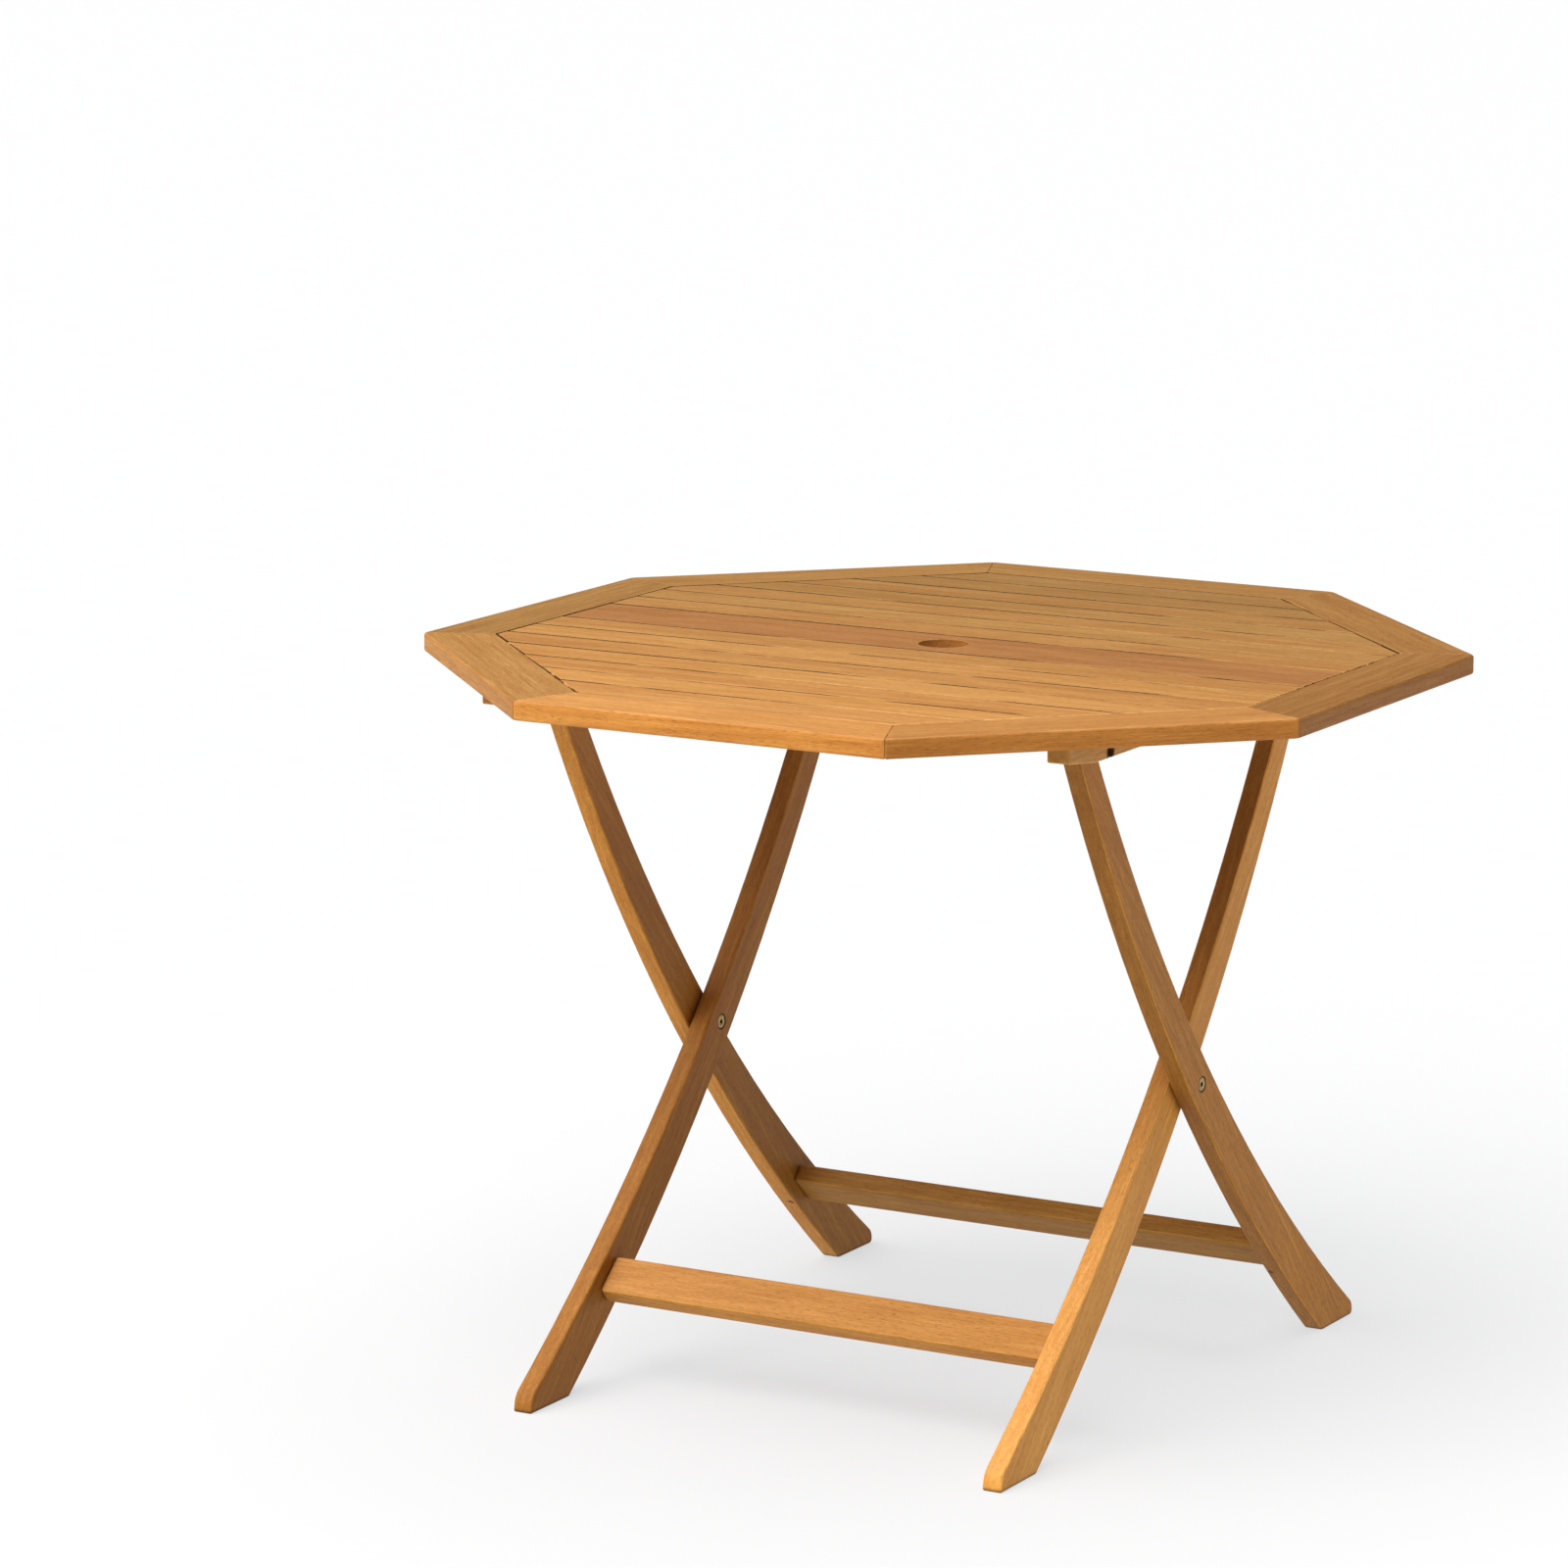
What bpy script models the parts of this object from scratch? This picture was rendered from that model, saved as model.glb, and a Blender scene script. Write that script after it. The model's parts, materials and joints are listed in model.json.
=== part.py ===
# Folding octagonal garden table: slatted top in a mitred frame, on two crossed leg frames.
# Metres, +Z up. The origin is on the floor below the parasol hole, the slats run along X,
# and the inner leg frame stands with its feet to the front, towards -Y.
import math

import bmesh
import bpy
from mathutils import Matrix, Vector

# Clearances
GAP = 0.0003                  # between pieces that touch, and round a bolt that a leg turns on
TENON_GAP = 0.0004            # round a tenon or a tongue in its recess

# Tabletop
TOP_WIDTH = 0.990             # across the octagon's flats
TOP_HEIGHT = 0.750
BOARD_THICKNESS = 0.020       # of the frame boards and the slats
FRAME_WIDTH = 0.069
FRAME_ARRIS = 0.003           # rounding of the frame's outer edges
FRAME_CORNER_ROUND = 0.010    # radius of the octagon's corners
SLATS_PER_SIDE = 7            # in front of the centre slat, and behind it
CENTRE_SLAT_WIDTH = 0.0945
SLAT_ARRIS = 0.0009
SLAT_END_GAP = 0.0022         # shrinkage gap between a slat's end and the frame
TONGUE_LENGTH = 0.007
TONGUE_THICKNESS = 0.006
TONGUE_SETBACK = 0.001        # from the slat's long sides
PARASOL_HOLE_RADIUS = 0.0255

# Bearers under the top
BEARER_WIDTH = 0.024
BEARER_DEPTH = 0.023
BEARER_END_INSET = 0.0154     # of its ends from the octagon's edge, along the bearer
BEARER_END_TAPER = 0.055
BEARER_END_RISE = 0.007

# Leg frames, in the plane of Y and Z
LEG_THICKNESS = 0.0213
LEG_RADIUS = 2.26             # of the curved centreline
LEG_PIVOT_WIDTH = 0.0441
LEG_TAPER = 0.027             # width lost per metre towards the top
LEG_ARRIS = 0.0025
PIVOT_Y = -0.0095
PIVOT_Z = 0.3285
INNER_SLOPE = math.radians(40.9)   # from the vertical, at the pivot
OUTER_SLOPE = math.radians(40.1)
INNER_TOE_CUT = 0.0223        # length that the blunt toe takes off the foot's sharp point
OUTER_TOE_CUT = 0.0180
HEEL_ROUND = 0.010
INNER_TOE_CURVE = 0.034       # radius between the leg's edge and the blunt toe
OUTER_TOE_CURVE = 0.016
INNER_TOE_ROUND = 0.003       # radius between the toe and the floor
OUTER_TOE_ROUND = 0.006
TOE_SPAN = 0.030              # from the blunt toe to where the heel's corner may lie
HINGE_DROP = 0.017            # from the slats' underside to the centres of the legs' top ends
INNER_HALF_WIDTH = 0.2776     # to the inner frame's outer faces
PIVOT_SPACE = 0.0032          # between the two frames
HINGE_SPACE = 0.0016          # between the outer frame and the bearers

# Rails
RAIL_DEPTH = 0.044
RAIL_THICKNESS = 0.0213
RAIL_ARRIS = 0.0035
RAIL_HEIGHT = 0.104           # of the lower rails' centres
TOP_RAIL_DEPTH = 0.030
TOP_RAIL_SETBACK = 0.010      # along the leg, below the centre of its top end
TENON_LENGTH = 0.012
TENON_MARGIN = 0.007          # the rail's shoulder above and below the tenon
TENON_THICKNESS = 0.009
PIN_RADIUS = 0.003
PIN_INSET = 0.0005            # of the pin's end below the leg's edge

# Catch blocks for the inner frame's top rail
CATCH_WIDTH = 0.040
CATCH_CENTRE = 0.210
CATCH_WALL = 0.026
CATCH_DEPTH = 0.032
CATCH_LIP = 0.024             # of the seat in front of the wall

# Fasteners
BOLT_HEAD_RADIUS = 0.0072
BOLT_HEAD_HEIGHT = 0.003
HEAD_INSET = 0.0004           # of a bolt's or nut's head below the wood's face
HEAD_GAP = 0.0004             # round a head in its counterbore
BOLT_RADIUS = 0.0035
SLEEVE_RADIUS = 0.005
SLEEVE_SHORTFALL = 0.007      # of the sleeve inside the wood that it passes through
SOCKET_ACROSS = 0.005
SOCKET_DEPTH = 0.002
WASHER_RADIUS = 0.010
HINGE_HEAD_RADIUS = 0.006
HINGE_COUNTERBORE = 0.009
SCREW_HEAD_RADIUS = 0.004
SCREW_HEAD_HEIGHT = 0.003
SCREW_RADIUS = 0.002
SCREW_RECESS = 0.008          # of the head into the bearer or the catch
SCREW_COVER = 0.007           # wood left over the screw's tip
SCREW_END_INSET = 0.027       # of the outer screws from the bearer's ends

# Facets
CURVE_STEPS = 20
ROUND_SIDES = 32
CORNER_STEPS = 4
HOLE_SIDES = 64

apothem = TOP_WIDTH / 2
fieldApothem = apothem - FRAME_WIDTH
undersideZ = TOP_HEIGHT - BOARD_THICKNESS
pivot = Vector((PIVOT_Y, PIVOT_Z))
hingeZ = undersideZ - HINGE_DROP
innerHalf = INNER_HALF_WIDTH
outerHalf = INNER_HALF_WIDTH + PIVOT_SPACE + LEG_THICKNESS
bearerInner = outerHalf + HINGE_SPACE
bearerOuter = bearerInner + BEARER_WIDTH
bearerHalfLength = apothem * math.sqrt(2) - bearerOuter - BEARER_END_INSET


def wood(name, colour):
    shade = bpy.data.materials.new(name)
    shade.use_nodes = True
    shader = shade.node_tree.nodes["Principled BSDF"]
    shader.inputs["Base Color"].default_value = (*colour, 1)
    shader.inputs["Roughness"].default_value = 0.55
    return shade


def metal(name, colour):
    shade = wood(name, colour)
    shader = shade.node_tree.nodes["Principled BSDF"]
    shader.inputs["Roughness"].default_value = 0.3
    shader.inputs["Metallic"].default_value = 1
    return shade


def toObject(name, mesh, shade=None):
    made = bpy.data.objects.new(name, mesh)
    bpy.context.scene.collection.objects.link(made)
    if shade:
        mesh.materials.append(shade)
    return made


def finishMesh(name, bm, shade, smooth):
    bmesh.ops.recalc_face_normals(bm, faces=bm.faces)
    mesh = bpy.data.meshes.new(name)
    bm.to_mesh(mesh)
    bm.free()
    if smooth:
        mesh.shade_smooth()
        mesh.set_sharp_from_angle(angle=math.radians(35))
    return toObject(name, mesh, shade)


# A prism from an outline. Its plane is XY for a prism along Z, and YZ for one along X.
def prism(name, outline, low, high, along="z", shade=None, smooth=False):
    place = {"z": lambda p, t: (p[0], p[1], t), "x": lambda p, t: (t, p[0], p[1])}[along]
    bm = bmesh.new()
    rings = [[bm.verts.new(place(p, level)) for p in outline] for level in (low, high)]
    for i in range(len(outline)):
        j = (i + 1) % len(outline)
        bm.faces.new((rings[0][i], rings[0][j], rings[1][j], rings[1][i]))
    bm.faces.new(rings[0])
    bm.faces.new(rings[1])
    return finishMesh(name, bm, shade, smooth)


# A turned piece along X. A station is a distance from the start and a radius; the ends are capped,
# or the last station joins the first where the piece has a bore right through.
def turned(name, stations, start, direction, shade=None, bored=False):
    bm = bmesh.new()
    rings = []
    for along, radius in stations:
        ring = []
        for side in range(ROUND_SIDES):
            turn = math.tau * side / ROUND_SIDES
            ring.append(bm.verts.new((start[0] + direction * along,
                                      start[1] + radius * math.cos(turn),
                                      start[2] + radius * math.sin(turn))))
        rings.append(ring)
    pairs = list(zip(rings, rings[1:]))
    if bored:
        pairs.append((rings[-1], rings[0]))
    for one, other in pairs:
        for i in range(ROUND_SIDES):
            j = (i + 1) % ROUND_SIDES
            bm.faces.new((one[i], one[j], other[j], other[i]))
    if not bored:
        bm.faces.new(rings[0])
        bm.faces.new(rings[-1])
    return finishMesh(name, bm, shade, True)


def cut(target, cutter):
    cutter.hide_render = True
    cutter.display_type = "WIRE"
    subtract = target.modifiers.new("cut " + cutter.name, "BOOLEAN")
    subtract.operation = "DIFFERENCE"
    subtract.solver = "EXACT"
    subtract.object = cutter


def join(target, piece):
    piece.hide_render = True
    piece.display_type = "WIRE"
    union = target.modifiers.new("join " + piece.name, "BOOLEAN")
    union.operation = "UNION"
    union.solver = "EXACT"
    union.object = piece


def bevelled(made, width, steps=2):
    bevel = made.modifiers.new("arris", "BEVEL")
    bevel.width = width
    bevel.segments = steps
    bevel.limit_method = "ANGLE"
    bevel.angle_limit = math.radians(40)
    return made


# Keeps the part of an outline on the inner side of a line, given by its outward normal and distance.
def clipped(outline, normal, distance):
    kept = []
    for i, here in enumerate(outline):
        before = outline[i - 1]
        insideHere = here.dot(normal) <= distance
        insideBefore = before.dot(normal) <= distance
        if insideHere != insideBefore:
            share = (distance - before.dot(normal)) / (here - before).dot(normal)
            kept.append(before.lerp(here, share))
        if insideHere:
            kept.append(here)
    return kept


# The corners of an outline, where it turns by more than a third of a right angle, and their turns.
def cornersOf(outline):
    found = {}
    for i, corner in enumerate(outline):
        onward = outline[(i + 1) % len(outline)] - corner
        turn = abs((corner - outline[i - 1]).angle_signed(onward))
        if turn > math.radians(30):
            found[i] = turn
    return found


# Rounds the corners of an outline by the radius for each place, and by no more than there is room for.
def rounded(outline, radiusAt):
    outline = [here for i, here in enumerate(outline) if (here - outline[i - 1]).length > GAP]
    corners = cornersOf(outline)
    wanted = {i: radiusAt(outline[i]) * math.tan(turn / 2) for i, turn in corners.items()}
    reaches = {}
    for i in corners:
        shares = [0.9 * (outline[i] - outline[j]).length / (wanted[i] + wanted[j]) for j in corners if j != i]
        reaches[i] = wanted[i] * min([1] + shares)
    result = []
    for i, here in enumerate(outline):
        if i not in corners:
            if all((here - outline[j]).length > reaches[j] + GAP for j in corners):
                result.append(here)
            continue
        inward = (outline[i - 1] - here).normalized()
        onward = (outline[(i + 1) % len(outline)] - here).normalized()
        bend = reaches[i] / math.tan(corners[i] / 2)
        centre = here + (inward + onward).normalized() * (bend / math.cos(corners[i] / 2))
        first = here + inward * reaches[i] - centre
        last = here + onward * reaches[i] - centre
        sweep = first.angle_signed(last)
        for step in range(CORNER_STEPS + 1):
            spoke = first.copy()
            spoke.rotate(Matrix.Rotation(-sweep * step / CORNER_STEPS, 2))
            result.append(centre + spoke)
    return result


def octagonNormals():
    return [Vector((math.cos(math.tau * k / 8), math.sin(math.tau * k / 8))) for k in range(8)]


def octagon(distance):
    corner = distance / math.cos(math.pi / 8)
    return [corner * Vector((math.cos(math.tau * (k + 0.5) / 8), math.sin(math.tau * (k + 0.5) / 8)))
            for k in range(8)]


# Frame boards

def frameBoard(name, side, shade):
    outward = octagonNormals()[side]
    alongSide = Vector((-outward.y, outward.x))
    halfOuter = apothem * math.tan(math.pi / 8)
    halfInner = fieldApothem * math.tan(math.pi / 8)
    mitreGap = GAP / 2 / math.cos(math.pi / 8)
    roundStart = halfOuter - mitreGap - FRAME_CORNER_ROUND * math.tan(math.pi / 8)
    outline = [outward * fieldApothem - alongSide * (halfInner - mitreGap)]
    for end, steps in ((-1, range(CORNER_STEPS, -1, -1)), (1, range(CORNER_STEPS + 1))):
        for step in steps:
            turn = math.pi / 8 * step / CORNER_STEPS
            outline.append(outward * (apothem - FRAME_CORNER_ROUND * (1 - math.cos(turn)))
                           + alongSide * end * (roundStart + FRAME_CORNER_ROUND * math.sin(turn)))
    outline.append(outward * fieldApothem + alongSide * (halfInner - mitreGap))
    board = prism(name, outline, undersideZ, TOP_HEIGHT, shade=shade)
    bm = bmesh.new()
    bm.from_mesh(board.data)
    roundDepth = FRAME_CORNER_ROUND * (1 - math.cos(math.pi / 8))
    outer = [edge for edge in bm.edges
             if all(v.co.xy.dot(outward) > apothem - roundDepth - GAP for v in edge.verts)
             and abs(edge.verts[0].co.z - edge.verts[1].co.z) < GAP]
    bmesh.ops.bevel(bm, geom=outer, offset=FRAME_ARRIS, segments=3, profile=0.5, affect="EDGES")
    bm.to_mesh(board.data)
    bm.free()
    return board


# Slats

def slatRows():
    slatRoom = (2 * fieldApothem - CENTRE_SLAT_WIDTH) / 2 - GAP * (SLATS_PER_SIDE + 1)
    slatWidth = slatRoom / SLATS_PER_SIDE
    rows = [("slat_centre", 0, CENTRE_SLAT_WIDTH / 2)]
    for number in range(SLATS_PER_SIDE):
        middle = CENTRE_SLAT_WIDTH / 2 + GAP + number * (slatWidth + GAP) + slatWidth / 2
        rows.append((f"slat_rear_{number + 1}", middle, slatWidth / 2))
        rows.append((f"slat_front_{number + 1}", -middle, slatWidth / 2))
    return rows


def strip(low, high):
    return [Vector((-apothem, low)), Vector((apothem, low)),
            Vector((apothem, high)), Vector((-apothem, high))]


def clippedToOctagon(outline, distance):
    for normal in octagonNormals():
        if abs(normal.x) > 0.5:
            outline = clipped(outline, normal, distance)
    return outline


def slat(name, middle, half, shade):
    body = prism(name, clippedToOctagon(strip(middle - half, middle + half), fieldApothem - SLAT_END_GAP),
                 undersideZ, TOP_HEIGHT, shade=shade)
    bm = bmesh.new()
    bm.from_mesh(body.data)
    topEdges = [edge for edge in bm.edges if all(v.co.z > TOP_HEIGHT - GAP for v in edge.verts)]
    bmesh.ops.bevel(bm, geom=topEdges, offset=SLAT_ARRIS, segments=1, affect="EDGES")
    bm.to_mesh(body.data)
    bm.free()
    low = middle - half + TONGUE_SETBACK
    high = middle + half - TONGUE_SETBACK
    if middle + half + 2 * GAP > fieldApothem:
        high = fieldApothem + TONGUE_LENGTH
    if middle - half - 2 * GAP < -fieldApothem:
        low = -fieldApothem - TONGUE_LENGTH
    tongueZ = undersideZ + (BOARD_THICKNESS - TONGUE_THICKNESS) / 2
    tongue = prism("tongue of " + name, clippedToOctagon(strip(low, high), fieldApothem + TONGUE_LENGTH),
                   tongueZ, tongueZ + TONGUE_THICKNESS)
    join(body, tongue)
    return body


# Legs

# The leg's centreline at an arc length from the pivot, positive upwards, in the inner frame's sense:
# the feet to the front and the top to the rear.
def centreline(length, slope):
    angle = slope - length / LEG_RADIUS
    return Vector((LEG_RADIUS * (math.cos(angle) - math.cos(slope)),
                   LEG_RADIUS * (math.sin(slope) - math.sin(angle)))), angle


def arcLengthAt(height, slope):
    return LEG_RADIUS * (slope - math.asin(math.sin(slope) - (height - PIVOT_Z) / LEG_RADIUS))


def legHalfWidth(length):
    return (LEG_PIVOT_WIDTH - LEG_TAPER * length) / 2


def legOutline(slope, toeCut, toeCurve, toeRound):
    top = arcLengthAt(hingeZ, slope)
    foot = arcLengthAt(-LEG_PIVOT_WIDTH, slope)
    front = []
    back = []
    for step in range(CURVE_STEPS + 1):
        length = foot + (top - foot) * step / CURVE_STEPS
        middle, angle = centreline(length, slope)
        across = Vector((math.cos(angle), -math.sin(angle)))
        front.append(middle - across * legHalfWidth(length))
        back.append(middle + across * legHalfWidth(length))
    middle, angle = centreline(top, slope)
    across = Vector((math.cos(angle), -math.sin(angle)))
    upward = Vector((math.sin(angle), math.cos(angle)))
    end = []
    for step in range(1, 2 * CORNER_STEPS):
        turn = math.pi * step / (2 * CORNER_STEPS)
        end.append(middle + legHalfWidth(top) * (upward * math.sin(turn) - across * math.cos(turn)))
    outline = clipped(front + end + back[::-1], Vector((0, -1)), PIVOT_Z)
    tip = max(-point.x for point in outline if point.y < 0)
    toe = tip - toeCut
    outline = clipped(outline, Vector((-1, 0)), toe)

    def radiusAt(corner):
        if -corner.x < toe - TOE_SPAN:
            return HEEL_ROUND
        return toeRound if corner.y < GAP - PIVOT_Z else toeCurve

    return rounded(outline, radiusAt)


# Turns a point of the inner frame's sense into the world, mirrored for the outer frame.
def placed(point, mirrored):
    return pivot + Vector((-point.x if mirrored else point.x, point.y))


def legFrame(mirrored):
    slope = OUTER_SLOPE if mirrored else INNER_SLOPE
    half = outerHalf if mirrored else innerHalf
    return slope, half


def leg(name, side, mirrored, shade):
    slope, half = legFrame(mirrored)
    toe = ((OUTER_TOE_CUT, OUTER_TOE_CURVE, OUTER_TOE_ROUND) if mirrored
           else (INNER_TOE_CUT, INNER_TOE_CURVE, INNER_TOE_ROUND))
    outline = [placed(point, mirrored) for point in legOutline(slope, *toe)]
    ends = sorted((side * half, side * (half - LEG_THICKNESS)))
    made = prism(name, outline, *ends, along="x", shade=shade, smooth=True)
    bevelled(made, LEG_ARRIS)
    headFace, inward = (side * half, -side) if mirrored else (side * (half - LEG_THICKNESS), side)
    cut(made, headBore("pivot bore of " + name, (headFace, PIVOT_Y, PIVOT_Z), inward))
    return made


# A bore through a leg for a sleeve nut, with the counterbore for a head at its start.
def headBore(name, start, direction):
    headRadius = BOLT_HEAD_RADIUS + HEAD_GAP
    depth = HEAD_INSET + BOLT_HEAD_HEIGHT + GAP
    return turned(name, [(-GAP, headRadius), (depth, headRadius), (depth, SLEEVE_RADIUS + GAP),
                         (LEG_THICKNESS + GAP, SLEEVE_RADIUS + GAP)], start, direction)


def box(name, size, rotation, place):
    bm = bmesh.new()
    bmesh.ops.create_cube(bm, size=1, matrix=Matrix.LocRotScale(place, rotation, size))
    return finishMesh(name, bm, None, False)


def railPlace(length, mirrored):
    slope, half = legFrame(mirrored)
    middle, angle = centreline(length, slope)
    world = placed(middle, mirrored)
    rotation = Matrix.Rotation(angle if mirrored else -angle, 3, "X").to_quaternion()
    return Vector((0, world.x, world.y)), rotation


# A rail between the two legs of a frame, with its tenons and the mortises that they need.
def rail(name, length, mirrored, depth, legs, shade):
    slope, half = legFrame(mirrored)
    place, rotation = railPlace(length, mirrored)
    shoulder = 2 * (half - LEG_THICKNESS - GAP)
    made = box(name, (shoulder, RAIL_THICKNESS, depth), rotation, place)
    made.data.materials.append(shade)
    bevelled(made, RAIL_ARRIS)
    tenonDepth = depth - 2 * TENON_MARGIN
    tenon = box("tenons of " + name, (shoulder + 2 * TENON_LENGTH, TENON_THICKNESS, tenonDepth),
                rotation, place)
    join(made, tenon)
    for side, part in zip((-1, 1), legs):
        mortise = box(f"mortise of {name} in {part.name}",
                      (TENON_LENGTH + 2 * TENON_GAP, TENON_THICKNESS + 2 * TENON_GAP,
                       tenonDepth + 2 * TENON_GAP), rotation,
                      place + Vector((side * (shoulder + TENON_LENGTH) / 2, 0, 0)))
        cut(part, mortise)
    return made


# A pin through a lower rail's tenon, driven in from the leg's under edge.
def railPin(name, side, length, mirrored, parts, shade):
    slope, half = legFrame(mirrored)
    place, rotation = railPlace(length, mirrored)
    inward = Vector((0, 1 if mirrored else -1, 0))
    inward.rotate(rotation)
    centre = place + Vector((side * (half - LEG_THICKNESS + TENON_LENGTH / 2), 0, 0))
    mouth = centre - inward * (legHalfWidth(length) - PIN_INSET)
    pinLength = legHalfWidth(length) - PIN_INSET + TENON_THICKNESS
    turn = Vector((0, 0, 1)).rotation_difference(inward)
    made = []
    for label, radius, start, finish in (
            (name, PIN_RADIUS, 0, pinLength),
            ("hole of " + name, PIN_RADIUS + GAP, -LEG_ARRIS, pinLength + GAP)):
        bm = bmesh.new()
        middle = mouth + inward * (start + finish) / 2
        bmesh.ops.create_cone(bm, cap_ends=True, segments=12, radius1=radius, radius2=radius,
                              depth=finish - start,
                              matrix=Matrix.Translation(middle) @ turn.to_matrix().to_4x4())
        made.append(finishMesh(label, bm, shade if label == name else None, True))
    for part in parts:
        cut(part, made[1])
    return made[0]


# Bearers

def bearer(name, side, shade):
    half = bearerHalfLength
    high = undersideZ - GAP
    low = undersideZ - BEARER_DEPTH
    outline = [Vector(point) for point in (
        (-half, high), (-half, low + BEARER_END_RISE), (-half + BEARER_END_TAPER, low),
        (half - BEARER_END_TAPER, low), (half, low + BEARER_END_RISE), (half, high))]
    ends = sorted((side * bearerInner, side * bearerOuter))
    made = prism(name, outline, *ends, along="x", shade=shade)
    return bevelled(made, 0.001, 1)


# Fasteners

def socket(target, start, direction):
    radius = SOCKET_ACROSS / 2 / math.cos(math.pi / 6)
    outline = [Vector((start[1] + radius * math.cos(math.tau * k / 6),
                       start[2] + radius * math.sin(math.tau * k / 6))) for k in range(6)]
    ends = sorted((start[0] - direction * GAP, start[0] + direction * SOCKET_DEPTH))
    cut(target, prism("socket of " + target.name, outline, *ends, along="x"))


def bolt(name, start, direction, headRadius, length, shade):
    made = turned(name, [(0, headRadius), (BOLT_HEAD_HEIGHT, headRadius),
                         (BOLT_HEAD_HEIGHT, BOLT_RADIUS), (length, BOLT_RADIUS)],
                  start, direction, shade)
    socket(made, start, direction)
    return made


def sleeveNut(name, start, direction, sleeve, shade):
    boreRadius = BOLT_RADIUS + GAP
    made = turned(name, [(0, BOLT_HEAD_RADIUS), (BOLT_HEAD_HEIGHT, BOLT_HEAD_RADIUS),
                         (BOLT_HEAD_HEIGHT, SLEEVE_RADIUS), (BOLT_HEAD_HEIGHT + sleeve, SLEEVE_RADIUS),
                         (BOLT_HEAD_HEIGHT + sleeve, boreRadius), (BOLT_HEAD_HEIGHT, boreRadius)],
                  start, direction, shade)
    socket(made, start, direction)
    return made


def washer(name, start, direction, thickness, bore, shade):
    return turned(name, [(0, bore), (0, WASHER_RADIUS), (thickness, WASHER_RADIUS), (thickness, bore)],
                  start, direction, shade, bored=True)


def pivotSet(label, side, shade):
    innerFace = side * (innerHalf - LEG_THICKNESS + HEAD_INSET)
    outerFace = side * (outerHalf - HEAD_INSET)
    grip = abs(outerFace - innerFace) - 2 * BOLT_HEAD_HEIGHT
    made = [bolt(f"pivot_bolt_{label}", (innerFace, PIVOT_Y, PIVOT_Z), side, BOLT_HEAD_RADIUS,
                 BOLT_HEAD_HEIGHT + grip - SLEEVE_SHORTFALL, shade),
            sleeveNut(f"pivot_nut_{label}", (outerFace, PIVOT_Y, PIVOT_Z), -side,
                      grip - SLEEVE_SHORTFALL, shade),
            washer(f"pivot_washer_{label}", (side * (innerHalf + GAP), PIVOT_Y, PIVOT_Z), side,
                   PIVOT_SPACE - 2 * GAP, SLEEVE_RADIUS + GAP, shade)]
    return made


def hingeSet(label, side, hingeY, bearerPiece, legPiece, shade):
    nutFace = side * (outerHalf - LEG_THICKNESS + HEAD_INSET)
    headEnd = bearerOuter - HINGE_COUNTERBORE + GAP + BOLT_HEAD_HEIGHT
    boltLength = headEnd - abs(nutFace) - BOLT_HEAD_HEIGHT - GAP
    hingeBolt = bolt(f"hinge_bolt_{label}", (side * headEnd, hingeY, hingeZ), -side,
                     HINGE_HEAD_RADIUS, boltLength, shade)
    nut = sleeveNut(f"hinge_nut_{label}", (nutFace, hingeY, hingeZ), side,
                    LEG_THICKNESS - SLEEVE_SHORTFALL, shade)
    ring = washer(f"hinge_washer_{label}", (side * (outerHalf + GAP), hingeY, hingeZ), side,
                  HINGE_SPACE - 2 * GAP, BOLT_RADIUS + GAP, shade)
    cut(bearerPiece, turned(f"counterbore {label}",
                            [(-GAP, HINGE_HEAD_RADIUS + GAP), (HINGE_COUNTERBORE, HINGE_HEAD_RADIUS + GAP),
                             (HINGE_COUNTERBORE, BOLT_RADIUS + GAP),
                             (BEARER_WIDTH + GAP, BOLT_RADIUS + GAP)],
                            (side * bearerOuter, hingeY, hingeZ), -side))
    cut(legPiece, headBore(f"hinge bore {label}", (side * (outerHalf - LEG_THICKNESS), hingeY, hingeZ), side))
    return [hingeBolt, nut, ring]


# A countersunk screw driven upwards, and its recess in what it holds.
def screw(name, x, y, low, parts, shade):
    head = low + SCREW_RECESS
    tip = TOP_HEIGHT - SCREW_COVER
    made = []
    for label, spare, stations in (
            (name, 0, [(head, SCREW_HEAD_RADIUS), (head + SCREW_HEAD_HEIGHT, SCREW_RADIUS),
                       (tip, SCREW_RADIUS)]),
            ("hole of " + name, GAP, [(low - GAP, SCREW_HEAD_RADIUS), (head, SCREW_HEAD_RADIUS),
                                      (head + SCREW_HEAD_HEIGHT, SCREW_RADIUS),
                                      (tip + GAP, SCREW_RADIUS)])):
        bm = bmesh.new()
        rings = [[bm.verts.new((x + (radius + spare) * math.cos(math.tau * k / 12),
                                y + (radius + spare) * math.sin(math.tau * k / 12), z))
                  for k in range(12)] for z, radius in stations]
        for one, other in zip(rings, rings[1:]):
            for i in range(12):
                j = (i + 1) % 12
                bm.faces.new((one[i], one[j], other[j], other[i]))
        bm.faces.new(rings[0])
        bm.faces.new(rings[-1])
        made.append(finishMesh(label, bm, None if spare else shade, True))
    for part in parts:
        cut(part, made[1])
    return made[0]


# Catch blocks

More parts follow.
